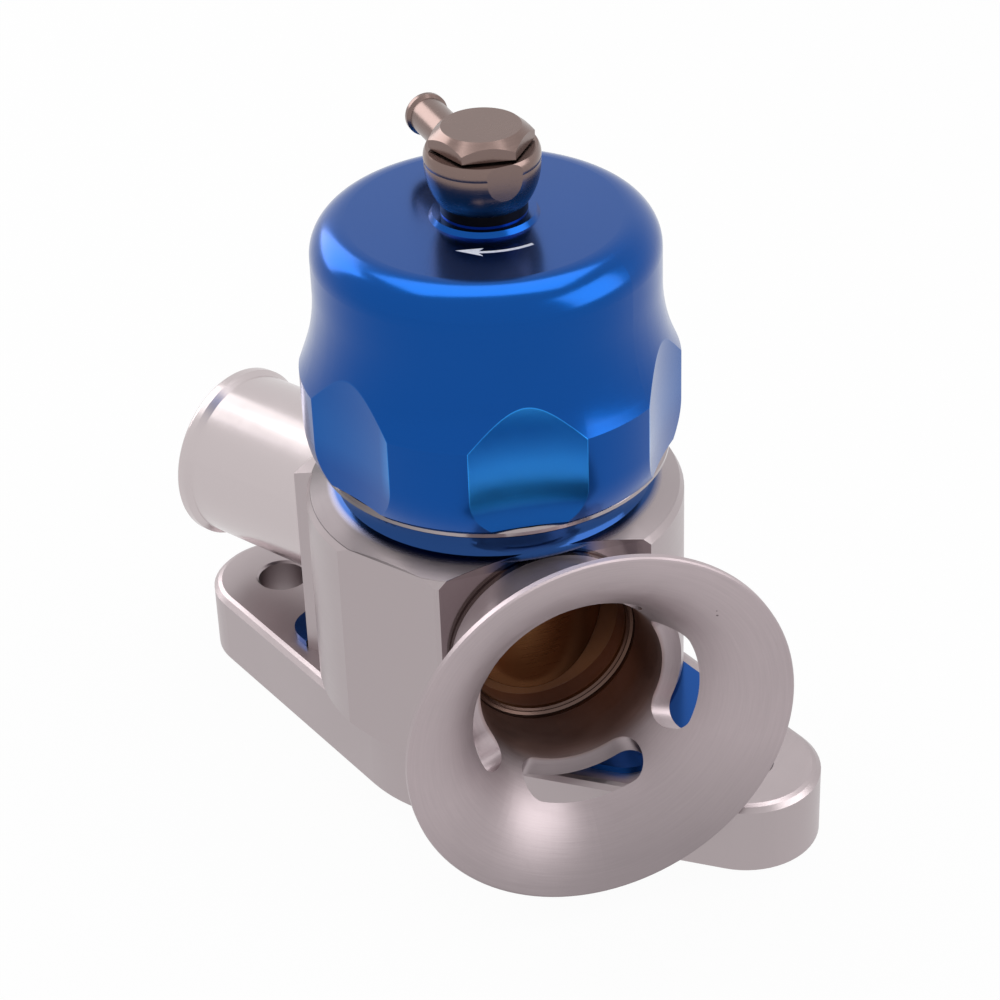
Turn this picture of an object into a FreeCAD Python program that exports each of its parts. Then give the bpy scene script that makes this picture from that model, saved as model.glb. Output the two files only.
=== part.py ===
# Blow off valve with a two-bolt flange, a turning cap, a recirculation spout and a trumpet.
# Millimetres, +Z up. The origin is on the valve's axis, on the flat underside of the flange.

import FreeCAD, Part
import Sketcher
import math
import os

V = FreeCAD.Vector
OUT = "parts"
TURNED_BACK = 360.0

# Driving sizes, in millimetres and degrees.
SIZES = {
    # flange
    "flange_thickness": 12.4,
    "hole_spacing": 95.5,
    "bolt_hole_radius": 4.25,
    "bolt_hole_bevel": 0.4,
    "flange_end_radius": 12.1,
    "flange_middle_radius": 26.7,
    "flange_bevel": 1.0,
    "base_groove_inner": 18.6,
    "base_groove_outer": 22.2,
    "base_groove_depth": 2.5,
    # billet body
    "body_radius": 30.4,
    "body_foot_bevel": 2.0,
    "body_top_bevel": 0.7,
    "shoulder_low": 48.6,
    "shoulder_high": 51.3,
    "front_flat": 28.9,
    "port_azimuth": 35.65,
    "port_flat": 25.0,
    "port_height": 34.0,
    "spout_block_face": 29.6,
    "spout_block_half": 15.5,
    "spout_lean": 2.16,
    # neck above the shoulder
    "neck_radius": 24.6,
    "rim_radius": 28.0,
    "rim_low": 55.8,
    "rim_high": 57.2,
    "upper_neck_radius": 24.2,
    "neck_top": 78.0,
    "wire_height": 62.0,
    "cap_ring_height": 65.6,
    # bores and ports
    "inlet_radius": 15.0,
    "seat_height": 17.0,
    "main_bore": 19.0,
    "port_radius": 13.2,
    "port_thread": 15.0,
    "port_floor": 20.6,
    "spout_thread": 13.2,
    "spout_floor": 22.0,
    # cap
    "cap_low": 57.6,
    "cap_lip_radius": 28.7,
    "cap_lip_curve": 15.0,
    "cap_skirt_radius": 29.9,
    "cap_skirt_low": 63.5,
    "cap_skirt_high": 72.0,
    "cap_flare_curve": 32.0,
    "cap_waist_radius": 27.0,
    "cap_waist_low": 86.0,
    "cap_edge": 5.7,
    "cap_top": 96.7,
    "cap_boss_radius": 8.0,
    "cap_boss_height": 0.8,
    "cap_step_radius": 6.7,
    "cap_step_height": 0.2,
    "scallop_count": 6,
    "scallop_floor": 27.8,
    "scallop_curve": 60.0,
    "scallop_azimuth": 42.5,
    "screw_bore": 23.2,
    "screw_bore_low": 79.0,
    "cap_ceiling": 91.2,
    "bolt_thread": 4.0,
    # clearances
    "fit_gap": 0.05,
    "turn_gap": 0.08,
    "rest_gap": 0.02,
    # spring seat and its guide pins
    "seat_disc_low": 84.6,
    "seat_disc_thickness": 5.0,
    "seat_hub_radius": 6.0,
    "seat_hub_drop": 6.0,
    "seat_bore": 3.2,
    "pin_radius": 1.2,
    "pin_orbit": 21.4,
    "pin_low": 68.0,
    "pin_high": 90.2,
    "plate_thickness": 0.6,
    "plate_inner": 6.6,
    "plate_outer": 14.4,
    # piston
    "piston_top": 65.6,
    "piston_web_low": 38.0,
    "piston_web_high": 42.0,
    "piston_cup_radius": 15.6,
    "piston_hub_radius": 6.0,
    "piston_hub_height": 4.0,
    "piston_lip_bevel": 0.5,
    "ring_wire": 1.4,
    "ring_depth": 2.3,
    "ring_width": 3.0,
    "lower_ring_height": 51.6,
    "upper_ring_height": 62.2,
    "band_height": 55.4,
    "band_width": 4.0,
    "band_depth": 1.0,
    "lip_ring_orbit": 17.0,
    "lip_ring_wire": 0.85,
    # springs
    "outer_spring_orbit": 12.9,
    "outer_spring_wire": 1.25,
    "outer_spring_coils": 5.5,
    "inner_spring_orbit": 8.0,
    "inner_spring_wire": 0.85,
    "inner_spring_coils": 6.5,
    # spout
    "spout_tube": 14.1,
    "spout_bead": 14.9,
    "spout_bead_length": 3.0,
    "spout_end": 58.3,
    "spout_bore": 12.0,
    "side_ring_wire": 0.5,
    # trumpet
    "horn_throat": 13.2,
    "horn_bore": 14.1,
    "horn_neck": 16.2,
    "horn_flare_start": 31.0,
    "horn_flare_curve": 20.3,
    "horn_back_start": 27.0,
    "horn_back_curve": 24.9,
    "horn_lip": 50.8,
    "horn_lip_inner": 30.2,
    "horn_lip_outer": 30.7,
    "horn_lip_back": 49.6,
    "window_count": 4,
    "window_near": 36.2,
    "window_far": 43.2,
    "window_sweep": 48.0,
    # vacuum fitting
    "seal_thickness": 1.7,
    "head_washer": 0.3,
    "fitting_washer_radius": 6.7,
    "fitting_low_radius": 7.0,
    "fitting_mid_radius": 8.85,
    "fitting_high_radius": 8.5,
    "fitting_mid_height": 106.0,
    "fitting_curve": 11.0,
    "fitting_height": 8.7,
    "fitting_groove_radius": 5.6,
    "fitting_groove_height": 4.6,
    "head_flats": 14.0,
    "head_height": 2.9,
    "head_face_radius": 6.1,
    "head_crown_slope": 0.85,
    "head_azimuth": 45.0,
    "bolt_low": 90.5,
    "bolt_passage": 1.5,
    "nipple_azimuth": 150.0,
    "nipple_height": 104.1,
    "nipple_radius": 3.0,
    "nipple_bead": 3.45,
    "nipple_bead_length": 1.6,
    "nipple_bore": 2.0,
    "nipple_start": 6.4,
    "nipple_end": 22.6,
    "plug_flat_depth": 0.45,
    # pads at the foot of the body
    "pad_thickness": 1.1,
    "pad_reach": 36.2,
    "pad_corner": 5.5,
    "pad_inset": 3.6,
}

document = FreeCAD.newDocument("blow_off_valve")
sheet = document.addObject("Spreadsheet::Sheet", "Sizes")
for row, (alias, number) in enumerate(SIZES.items(), start=1):
    sheet.set(f"A{row}", alias)
    sheet.set(f"B{row}", str(number))
    sheet.setAlias(f"B{row}", alias)
document.recompute()


# A size carries its number and the text of the expression that gives it.
class Size:
    def __init__(self, number, text):
        self.number = number
        self.text = text

    def joined(self, other, sign, number):
        return Size(number, f"({self.text} {sign} {other.text})")

    def __add__(self, other):
        other = plain(other)
        return self.joined(other, "+", self.number + other.number)

    def __sub__(self, other):
        other = plain(other)
        return self.joined(other, "-", self.number - other.number)

    def __mul__(self, other):
        other = plain(other)
        return self.joined(other, "*", self.number * other.number)

    def __truediv__(self, other):
        other = plain(other)
        return self.joined(other, "/", self.number / other.number)

    def __neg__(self):
        return Size(-self.number, f"(-1 * {self.text})")


def plain(value):
    if isinstance(value, Size):
        return value
    return Size(float(value), str(float(value)))


def size(alias):
    return Size(float(sheet.get(alias)), f"Sizes.{alias}")


def root(value):
    return Size(math.sqrt(value.number), f"sqrt({value.text})")


def cosine(angle):
    return Size(math.cos(math.radians(angle.number)), f"cos({angle.text} * 1 deg)")


def sine(angle):
    return Size(math.sin(math.radians(angle.number)), f"sin({angle.text} * 1 deg)")


def bind(target, prop, value):
    target.setExpression(prop, plain(value).text)


def new_body(name):
    made = document.addObject("PartDesign::Body", name)
    made.Label = name
    return made


# Sketch on one of a body's own planes, or at a distance from it. Turned is the sketch axis and the
# angle that the plane is swung by about the body's origin, and the distance swings with it.
def new_sketch(body, name, plane, along=0, turned=None):
    sketch = body.newObject("Sketcher::SketchObject", name)
    origin_plane = [f for f in body.Origin.OriginFeatures if f.Role == plane][0]
    sketch.AttachmentSupport = [(origin_plane, "")]
    sketch.MapMode = "FlatFace"
    along = plain(along)
    if turned is None:
        sketch.AttachmentOffset = FreeCAD.Placement(V(0, 0, along.number), FreeCAD.Rotation())
        bind(sketch, "AttachmentOffset.Base.z", along)
        return sketch
    axis, angle = turned
    swung = FreeCAD.Rotation(axis, angle.number)
    base = swung.multVec(V(0, 0, along.number))
    sketch.AttachmentOffset = FreeCAD.Placement(base, swung)
    bind(sketch, "AttachmentOffset.Rotation.Angle", angle)
    if axis.y:
        bind(sketch, "AttachmentOffset.Base.x", along * sine(angle) * axis.y)
        bind(sketch, "AttachmentOffset.Base.z", along * cosine(angle))
    else:
        bind(sketch, "AttachmentOffset.Base.z", along)
    return sketch


# Ties one corner of a sketch to the origin by its two distances.
def fix_point(sketch, element, end, x, y):
    for kind, axis, value in (("DistanceX", -2, x), ("DistanceY", -1, y)):
        value = plain(value)
        if value.text == "0.0":
            sketch.addConstraint(Sketcher.Constraint("PointOnObject", element, end, axis))
        else:
            number = sketch.addConstraint(
                Sketcher.Constraint(kind, -1, 1, element, end, value.number)
            )
            bind(sketch, f"Constraints[{number}]", value)


def arc_between(start, finish, radius, bend):
    chord = finish - start
    rise = math.sqrt(max(radius**2 - (chord.Length / 2) ** 2, 0.0))
    side = V(-chord.y, chord.x, 0).normalize()
    centre = (start + finish) * 0.5 + side * rise * bend
    first, last = (start, finish) if bend > 0 else (finish, start)
    angles = [math.atan2(p.y - centre.y, p.x - centre.x) for p in (first, last)]
    return Part.ArcOfCircle(Part.Circle(centre, V(0, 0, 1), radius), *angles)


# Closed outline. Each corner is (x, y) or (x, y, radius, bend): an arc runs from it to the next
# corner, bend 1 turning left and -1 turning right.
def outline(sketch, corners):
    corners = [tuple(corner) for corner in corners]
    points = [V(plain(c[0]).number, plain(c[1]).number, 0) for c in corners]
    ends = []
    for number, corner in enumerate(corners):
        start, finish = points[number], points[(number + 1) % len(points)]
        if len(corner) == 4:
            radius, bend = plain(corner[2]), corner[3]
            element = sketch.addGeometry(arc_between(start, finish, radius.number, bend), False)
            constraint = sketch.addConstraint(
                Sketcher.Constraint("Radius", element, radius.number)
            )
            bind(sketch, f"Constraints[{constraint}]", radius)
            ends.append((element, 1, 2) if bend > 0 else (element, 2, 1))
        else:
            element = sketch.addGeometry(Part.LineSegment(start, finish), False)
            ends.append((element, 1, 2))
    for number, corner in enumerate(corners):
        element, first, last = ends[number]
        follower, following_end, _ = ends[(number + 1) % len(ends)]
        sketch.addConstraint(
            Sketcher.Constraint("Coincident", element, last, follower, following_end)
        )
        fix_point(sketch, element, first, corner[0], corner[1])


def circle(sketch, x, y, radius):
    x, y, radius = plain(x), plain(y), plain(radius)
    shape = Part.Circle(V(x.number, y.number, 0), V(0, 0, 1), radius.number)
    element = sketch.addGeometry(shape, False)
    fix_point(sketch, element, 3, x, y)
    constraint = sketch.addConstraint(Sketcher.Constraint("Radius", element, radius.number))
    bind(sketch, f"Constraints[{constraint}]", radius)


def rectangle(sketch, left, low, right, high):
    outline(sketch, [(left, low), (right, low), (right, high), (left, high)])


def turned(body, name, corners, cut=False, angle=None):
    sketch = new_sketch(body, f"{name}_profile", "XZ_Plane")
    outline(sketch, corners)
    kind = "PartDesign::Groove" if cut else "PartDesign::Revolution"
    feature = body.newObject(kind, name)
    feature.Profile = sketch
    feature.ReferenceAxis = (sketch, ["V_Axis"])
    feature.Angle = TURNED_BACK
    if angle is not None:
        feature.Midplane = True
        bind(feature, "Angle", angle)
    document.recompute()
    return feature


def padded(body, name, sketch, length):
    feature = body.newObject("PartDesign::Pad", name)
    feature.Profile = sketch
    bind(feature, "Length", length)
    document.recompute()
    return feature


def pocketed(body, name, sketch, length=None, outward=False):
    feature = body.newObject("PartDesign::Pocket", name)
    feature.Profile = sketch
    feature.Reversed = outward
    if length is None:
        feature.Type = "ThroughAll"
        feature.Midplane = True
    else:
        bind(feature, "Length", length)
    document.recompute()
    return feature


# Bevels the edges that lie wholly at one height.
def bevelled(body, name, base, height, width, wanted=lambda edge: True):
    names = []
    for number, edge in enumerate(base.Shape.Edges, start=1):
        box = edge.BoundBox
        level = abs(box.ZMin - height.number) < 0.01 and abs(box.ZMax - height.number) < 0.01
        if level and wanted(edge):
            names.append(f"Edge{number}")
    feature = body.newObject("PartDesign::Chamfer", name)
    feature.Base = (base, names)
    bind(feature, "Size", width)
    document.recompute()
    return feature


def patterned(body, name, features, count):
    feature = body.newObject("PartDesign::PolarPattern", name)
    feature.Originals = features
    axis = [f for f in body.Origin.OriginFeatures if f.Role == "Z_Axis"][0]
    feature.Axis = (axis, [""])
    feature.Angle = TURNED_BACK
    bind(feature, "Occurrences", count)
    body.Tip = feature
    document.recompute()
    return feature


# Round-section ring, such as an O-ring or a wire ring.
def wire_ring(name, orbit, wire, height):
    made = document.addObject("Part::Torus", name)
    made.Label = name
    bind(made, "Radius1", orbit)
    bind(made, "Radius2", wire)
    bind(made, "Placement.Base.z", height)
    return made


# Several solids of one kind that make one node.
def grouped(name, members):
    made = document.addObject("Part::Compound", name)
    made.Label = name
    made.Links = members
    return made


# Stands a piece that was made along its own Z axis out along the ground at a height.
def lay_out(piece, azimuth, height):
    level = FreeCAD.Rotation(V(0, 1, 0), 90)
    aim = FreeCAD.Rotation(V(0, 0, 1), azimuth.number)
    piece.Placement = FreeCAD.Placement(V(0, 0, 0), aim * level)
    bind(piece, "Placement.Base.z", height)


# Small ring on a piece that is laid out along the ground, at a distance from the valve's axis.
def side_ring(name, orbit, azimuth, distance):
    ring = wire_ring(name, orbit, size("side_ring_wire"), plain(0))
    lay_out(ring, azimuth, size("port_height"))
    bind(ring, "Placement.Base.x", distance * cosine(azimuth))
    bind(ring, "Placement.Base.y", distance * sine(azimuth))


half_spacing = size("hole_spacing") / 2
port_aim = (V(0, -1, 0), size("port_azimuth"))
thick = size("flange_thickness")
body_radius = size("body_radius")
port_height = size("port_height")
neck_radius = size("neck_radius")
upper_neck = size("upper_neck_radius")
gap = size("fit_gap")
rest = size("rest_gap")

# Billet body: flange, round tower, block for the spout, flat for the trumpet, and neck.
valve_body = new_body("valve_body")

lean = (size("flange_middle_radius") - size("flange_end_radius")) / half_spacing
level = root(plain(1) - lean * lean)
middle_x = size("flange_middle_radius") * lean
middle_y = size("flange_middle_radius") * level
end_x = half_spacing + size("flange_end_radius") * lean
end_y = size("flange_end_radius") * level
flange_sketch = new_sketch(valve_body, "flange_outline", "XY_Plane")
outline(
    flange_sketch,
    [
        (middle_x, -middle_y),
        (end_x, -end_y, size("flange_end_radius"), 1),
        (end_x, end_y),
        (middle_x, middle_y, size("flange_middle_radius"), 1),
        (-middle_x, middle_y),
        (-end_x, end_y, size("flange_end_radius"), 1),
        (-end_x, -end_y),
        (-middle_x, -middle_y, size("flange_middle_radius"), 1),
    ],
)
flange = padded(valve_body, "flange", flange_sketch, thick)
flange_top = bevelled(valve_body, "flange_top_bevel", flange, thick, size("flange_bevel"))

holes_sketch = new_sketch(valve_body, "bolt_hole_circles", "XY_Plane")
for side in (-1, 1):
    circle(holes_sketch, half_spacing * side, 0, size("bolt_hole_radius"))
holes = pocketed(valve_body, "bolt_holes", holes_sketch)
bevelled(
    valve_body,
    "bolt_hole_bevels",
    holes,
    thick,
    size("bolt_hole_bevel"),
    lambda edge: edge.BoundBox.XLength < 3 * SIZES["bolt_hole_radius"],
)

spout_aim = (V(0, -1, 0), size("spout_lean"))
block_sketch = new_sketch(
    valve_body, "spout_block_outline", "XY_Plane", 0, (V(0, 0, -1), size("spout_lean"))
)
block_half = size("spout_block_half")
rectangle(block_sketch, -size("spout_block_face"), -block_half, 0, block_half)
padded(valve_body, "spout_block", block_sketch, size("shoulder_high") + 2)

slope = (size("shoulder_high") - size("shoulder_low")) / (body_radius - neck_radius)
wide = body_radius + 12
turned(
    valve_body,
    "shoulder_slope",
    [
        (neck_radius, size("shoulder_high")),
        (wide, size("shoulder_high") - slope * (wide - neck_radius)),
        (wide, size("rim_low") + 2),
        (neck_radius, size("rim_low") + 2),
    ],
    cut=True,
)

foot_bevel = size("body_foot_bevel")
top_bevel = size("body_top_bevel")
turned(
    valve_body,
    "tower",
    [
        (0, thick - 2),
        (body_radius - foot_bevel - 6, thick - 2),
        (body_radius - foot_bevel, thick),
        (body_radius, thick + foot_bevel),
        (body_radius, size("shoulder_low") - top_bevel * 1.4),
        (body_radius - top_bevel, size("shoulder_low") + slope * top_bevel),
        (neck_radius, size("shoulder_high")),
        (0, size("shoulder_high")),
    ],
)

flat_sketch = new_sketch(valve_body, "front_flat_outline", "XY_Plane")
rectangle(flat_sketch, -wide, -wide, wide, -size("front_flat"))
pocketed(valve_body, "front_flat_cut", flat_sketch)

spout_flat_sketch = new_sketch(
    valve_body, "spout_flat_outline", "YZ_Plane", -size("spout_block_face"), spout_aim
)
rectangle(spout_flat_sketch, -wide, thick, wide, size("rim_low") + 2)
pocketed(valve_body, "spout_flat_cut", spout_flat_sketch, size("spout_block_face"))

port_flat_sketch = new_sketch(valve_body, "port_flat_outline", "YZ_Plane", size("port_flat"), port_aim)
rectangle(port_flat_sketch, -wide, thick, wide, size("rim_low") + 2)
pocketed(valve_body, "port_flat_cut", port_flat_sketch, size("port_flat"), outward=True)

groove = size("ring_wire") * 0.8
turned(
    valve_body,
    "neck",
    [
        (0, size("shoulder_high") - 3),
        (neck_radius - 1, size("shoulder_high") - 3),
        (neck_radius + 1.5, size("shoulder_high") - 1, 3, -1),
        (neck_radius, size("shoulder_high") + 2),
        (neck_radius, size("rim_low")),
        (size("rim_radius") - 0.4, size("rim_low")),
        (size("rim_radius"), size("rim_low") + 0.4),
        (size("rim_radius"), size("rim_high") - 0.4),
        (size("rim_radius") - 0.4, size("rim_high")),
        (upper_neck, size("rim_high")),
        (upper_neck, size("wire_height") - 0.8),
        (upper_neck - 1, size("wire_height") - 0.8),
        (upper_neck - 1, size("wire_height") + 0.8),
        (upper_neck, size("wire_height") + 0.8),
        (upper_neck, size("cap_ring_height") - groove),
        (upper_neck - 1.9, size("cap_ring_height") - groove),
        (upper_neck - 1.9, size("cap_ring_height") + groove),
        (upper_neck, size("cap_ring_height") + groove),
        (upper_neck, size("neck_top") - 0.6),
        (upper_neck - 0.6, size("neck_top")),
        (0, size("neck_top")),
    ],
)

turned(
    valve_body,
    "bore",
    [
        (0, -1),
        (size("inlet_radius") + 0.8, -1),
        (size("inlet_radius") + 0.8, 0),
        (size("inlet_radius"), 0.8),
        (size("inlet_radius"), size("seat_height")),
        (size("main_bore"), size("seat_height")),
        (size("main_bore"), size("neck_top") + 1),
        (0, size("neck_top") + 1),
    ],
    cut=True,
)
turned(
    valve_body,
    "base_ring_groove",
    [
        (size("base_groove_inner"), -1),
        (size("base_groove_outer"), -1),
        (size("base_groove_outer"), size("base_groove_depth")),
        (size("base_groove_inner"), size("base_groove_depth")),
    ],
    cut=True,
)

pin_sketch = new_sketch(valve_body, "pin_circles", "XY_Plane", size("pin_low"))
for side in (-1, 1):
    circle(pin_sketch, 0, size("pin_orbit") * side, size("pin_radius") + gap)
pocketed(valve_body, "pin_holes", pin_sketch, size("neck_top"), outward=True)

spout_hole_sketch = new_sketch(valve_body, "spout_hole_circle", "YZ_Plane", 0, spout_aim)
circle(spout_hole_sketch, 0, port_height, size("spout_bore"))
pocketed(valve_body, "spout_hole", spout_hole_sketch, wide)
spout_tap_sketch = new_sketch(
    valve_body, "spout_tap_circle", "YZ_Plane", -size("spout_floor"), spout_aim
)
circle(spout_tap_sketch, 0, port_height, size("spout_thread"))
pocketed(valve_body, "spout_tapping", spout_tap_sketch, wide)

horn_hole_sketch = new_sketch(valve_body, "horn_hole_circle", "YZ_Plane", 0, port_aim)
circle(horn_hole_sketch, 0, port_height, size("port_radius"))
pocketed(valve_body, "horn_hole", horn_hole_sketch, wide, outward=True)
horn_tap_sketch = new_sketch(
    valve_body, "horn_tap_circle", "YZ_Plane", size("port_floor"), port_aim
)
circle(horn_tap_sketch, 0, port_height, size("port_thread"))
pocketed(valve_body, "horn_tapping", horn_tap_sketch, wide, outward=True)

# Turning cap: waisted outside, scalloped round the skirt, threaded inside for the spring seat.
cap = new_body("cap")
edge = size("cap_edge")
boss_top = size("cap_top") + size("cap_boss_height")
step_top = boss_top + size("cap_step_height")
neck_bore = upper_neck + size("turn_gap")
turned(
    cap,
    "cap_outside",
    [
        (0, size("cap_low")),
        (size("cap_lip_radius"), size("cap_low"), size("cap_lip_curve"), 1),
        (size("cap_skirt_radius"), size("cap_skirt_low")),
        (size("cap_skirt_radius"), size("cap_skirt_high"), size("cap_flare_curve"), -1),
        (size("cap_waist_radius"), size("cap_waist_low")),
        (size("cap_waist_radius"), size("cap_top") - edge, edge, 1),
        (size("cap_waist_radius") - edge, size("cap_top")),
        (size("cap_boss_radius") + 0.5, size("cap_top")),
        (size("cap_boss_radius"), boss_top),
        (size("cap_step_radius"), boss_top),
        (size("cap_step_radius"), step_top),
        (0, step_top),
    ],
)
turned(
    cap,
    "cap_inside",
    [
        (0, size("cap_low") - 1),
        (neck_bore + 0.6, size("cap_low") - 1),
        (neck_bore + 0.6, size("cap_low")),
        (neck_bore, size("cap_low") + 0.6),
        (neck_bore, size("wire_height") - 0.8),
        (neck_bore + 0.9, size("wire_height") - 0.8),
        (neck_bore + 0.9, size("wire_height") + 0.8),
        (neck_bore, size("wire_height") + 0.8),
        (neck_bore, size("screw_bore_low")),
        (size("screw_bore"), size("screw_bore_low")),
        (size("screw_bore"), size("cap_ceiling")),
        (0, size("cap_ceiling")),
    ],
    cut=True,
)
bolt_hole_sketch = new_sketch(cap, "fitting_hole_circle", "XY_Plane")
circle(bolt_hole_sketch, 0, 0, size("bolt_thread") + gap)
pocketed(cap, "fitting_hole", bolt_hole_sketch)
scallop_sketch = new_sketch(
    cap, "scallop_circle", "XY_Plane", size("cap_low") - 2, (V(0, 0, -1), size("scallop_azimuth"))
)
circle(scallop_sketch, size("scallop_floor") + size("scallop_curve"), 0, size("scallop_curve"))
scallop = pocketed(cap, "scallop", scallop_sketch, size("cap_waist_low") - size("cap_low"), outward=True)
patterned(cap, "scallops", [scallop], size("scallop_count"))

# Ring that holds the cap on the neck, and the ring that seals it.
wire_ring("retaining_ring", upper_neck + 0.04, 0.7, size("wire_height"))
wire_ring("cap_oring", upper_neck - 0.88, 0.92, size("cap_ring_height"))

# Spring seat: a disc that screws in the cap and is kept from turning by two pins in the neck.
seat_low = size("seat_disc_low")
seat_high = seat_low + size("seat_disc_thickness")
spring_seat = new_body("spring_seat")
turned(
    spring_seat,
    "seat_disc",
    [
        (size("seat_bore"), seat_low - size("seat_hub_drop")),
        (size("seat_hub_radius"), seat_low - size("seat_hub_drop")),
        (size("seat_hub_radius"), seat_low),
        (size("screw_bore") - gap - 0.5, seat_low),
        (size("screw_bore") - gap, seat_low + 0.5),
        (size("screw_bore") - gap, seat_high - 0.5),
        (size("screw_bore") - gap - 0.5, seat_high),
        (size("seat_bore"), seat_high),
    ],
)
seat_holes_sketch = new_sketch(spring_seat, "seat_pin_circles", "XY_Plane")
for side in (-1, 1):
    circle(seat_holes_sketch, 0, size("pin_orbit") * side, size("pin_radius") + size("turn_gap"))
for side in (-1, 1):
    circle(seat_holes_sketch, size("pin_orbit") * side * 0.72, 0, size("pin_radius") * 1.5)
pocketed(spring_seat, "seat_holes", seat_holes_sketch, size("cap_top"), outward=True)

pins = []
for side, end in ((-1, "front"), (1, "rear")):
    pin = document.addObject("Part::Cylinder", f"guide_pin_{end}")
    bind(pin, "Radius", size("pin_radius"))
    bind(pin, "Height", size("pin_high") - size("pin_low") - rest)
    bind(pin, "Placement.Base.y", size("pin_orbit") * side)
    bind(pin, "Placement.Base.z", size("pin_low") + rest)
    pins.append(pin)
grouped("guide_pins", pins)

plate_top = seat_low - rest
spring_top = plate_top - size("plate_thickness") - rest
thrust_plate = new_body("thrust_plate")
turned(
    thrust_plate,
    "thrust_plate_ring",
    [
        (size("plate_inner"), plate_top - size("plate_thickness")),
        (size("plate_outer"), plate_top - size("plate_thickness")),
        (size("plate_outer"), plate_top),
        (size("plate_inner"), plate_top),
    ],
)

# Piston: a bronze sleeve with a web across it, sealed at its lip and on its skirt.
piston = new_body("piston")
skirt = size("main_bore") - gap
lip = size("seat_height") + rest
cup = size("piston_cup_radius")
ring_floor = skirt - size("ring_depth")
half_ring = size("ring_width") / 2
half_band = size("band_width") / 2
lip_low = size("lip_ring_orbit") - size("lip_ring_wire")
lip_high = size("lip_ring_orbit") + size("lip_ring_wire")
lip_depth = lip + size("lip_ring_wire") * 2
turned(
    piston,
    "piston_sleeve",
    [
        (0, size("piston_web_low")),
        (cup - 3, size("piston_web_low")),
        (cup, size("piston_web_low") - 3),
        (cup, lip + 0.4),
        (cup + 0.3, lip),
        (lip_low, lip),
        (lip_low, lip_depth),
        (lip_high, lip_depth),
        (lip_high, lip),
        (skirt - size("piston_lip_bevel"), lip),
        (skirt, lip + size("piston_lip_bevel")),
        (skirt, size("lower_ring_height") - half_ring),
        (ring_floor, size("lower_ring_height") - half_ring),
        (ring_floor, size("lower_ring_height") + half_ring),
        (skirt, size("lower_ring_height") + half_ring),
        (skirt, size("band_height") - half_band + 1.6),
        (skirt - size("band_depth"), size("band_height") - half_band + 1.6),
        (skirt - size("band_depth"), size("band_height") + half_band + 1.6),
        (skirt, size("band_height") + half_band + 1.6),
        (skirt, size("upper_ring_height") - half_ring),
        (ring_floor, size("upper_ring_height") - half_ring),
        (ring_floor, size("upper_ring_height") + half_ring),
        (skirt, size("upper_ring_height") + half_ring),
        (skirt, size("piston_top") - 0.4),
        (skirt - 0.4, size("piston_top")),
        (cup, size("piston_top")),
        (cup, size("piston_web_high")),
        (size("piston_hub_radius"), size("piston_web_high")),
        (size("piston_hub_radius"), size("piston_web_high") + size("piston_hub_height")),
        (0, size("piston_web_high") + size("piston_hub_height")),
    ],
)

ring_orbit = size("main_bore") - size("ring_wire") * 0.8 - 0.03
skirt_rings = []
for height in ("lower_ring_height", "upper_ring_height"):
    skirt_rings.append(
        wire_ring(f"{height[:5]}_piston_ring", ring_orbit, size("ring_wire") * 0.8, size(height))
    )
grouped("piston_orings", skirt_rings)
wire_ring("seat_oring", size("lip_ring_orbit"), size("lip_ring_wire") - 0.02, lip + size("lip_ring_wire"))

wear_band = new_body("wear_band")
band_low = size("band_height") - half_band + 1.6 + rest
band_high = size("band_height") + half_band + 1.6 - rest
turned(
    wear_band,
    "wear_band_ring",
    [
        (skirt - size("band_depth") + rest, band_low),
        (size("main_bore") - rest, band_low),
        (size("main_bore") - rest, band_high),
        (skirt - size("band_depth") + rest, band_high),
    ],
)


# Compression spring with closed, ground ends, standing between two heights.
def coil_spring(name, orbit, wire, coils, low, high):
    steps = 16
    tip = wire * 0.5
    closed = wire * 2 * 1.03
    total = coils + 2.0
    first, last = low - tip + closed, high + tip - closed
    points = []
    for step in range(int(total * steps) + 1):
        turn = step / steps
        if turn <= 1:
            height = first - closed * (1 - turn)
        elif turn >= total - 1:
            height = last + closed * (turn - total + 1)
        else:
            height = first + (last - first) * (turn - 1) / (total - 2)
        angle = 2 * math.pi * turn
        points.append(V(orbit * math.cos(angle), orbit * math.sin(angle), height))
    path = Part.BSplineCurve()
    path.interpolate(points)
    rail = Part.Wire([path.toShape()])
    start = path.tangent(path.FirstParameter)[0]
    section = Part.Wire([Part.makeCircle(wire, points[0], start)])
    coil = rail.makePipeShell([section], True, True)
    slab = Part.makeCylinder(orbit + 2 * wire, high - low, V(0, 0, low))
    made = document.addObject("Part::Feature", name)
    made.Shape = coil.common(slab)
    made.Label = name
    return made


spring_low = SIZES["piston_web_high"] + SIZES["rest_gap"]
for kind in ("outer", "inner"):
    coil_spring(
        f"{kind}_spring",
        SIZES[f"{kind}_spring_orbit"],
        SIZES[f"{kind}_spring_wire"],
        SIZES[f"{kind}_spring_coils"],
        spring_low,
        spring_top.number,
    )

# Recirculation spout: a turned tube with a rolled bead, screwed into the block.
spout = new_body("recirculation_spout")
tube = size("spout_tube")
bead = size("spout_bead")
spout_end = size("spout_end")
face = size("spout_block_face")
spigot = size("spout_thread") - gap
turned(
    spout,
    "spout_tube_turning",
    [
        (size("spout_bore"), size("spout_floor") + rest),
        (spigot - 0.6, size("spout_floor") + rest),
        (spigot, size("spout_floor") + 0.6),
        (spigot, face - 2.6),
        (spigot - 1.1, face - 2.6),
        (spigot - 1.1, face + rest),
        (tube, face + rest),
        (tube, spout_end - size("spout_bead_length")),
        (bead, spout_end - size("spout_bead_length") + 1.0),
        (bead, spout_end - 0.9, 0.9, 1),
        (bead - 0.9, spout_end),
        (size("spout_bore") + 0.5, spout_end),
        (size("spout_bore"), spout_end - 0.5),
    ],
)
spout_azimuth = plain(180) - size("spout_lean")
lay_out(spout, spout_azimuth, port_height)
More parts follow.
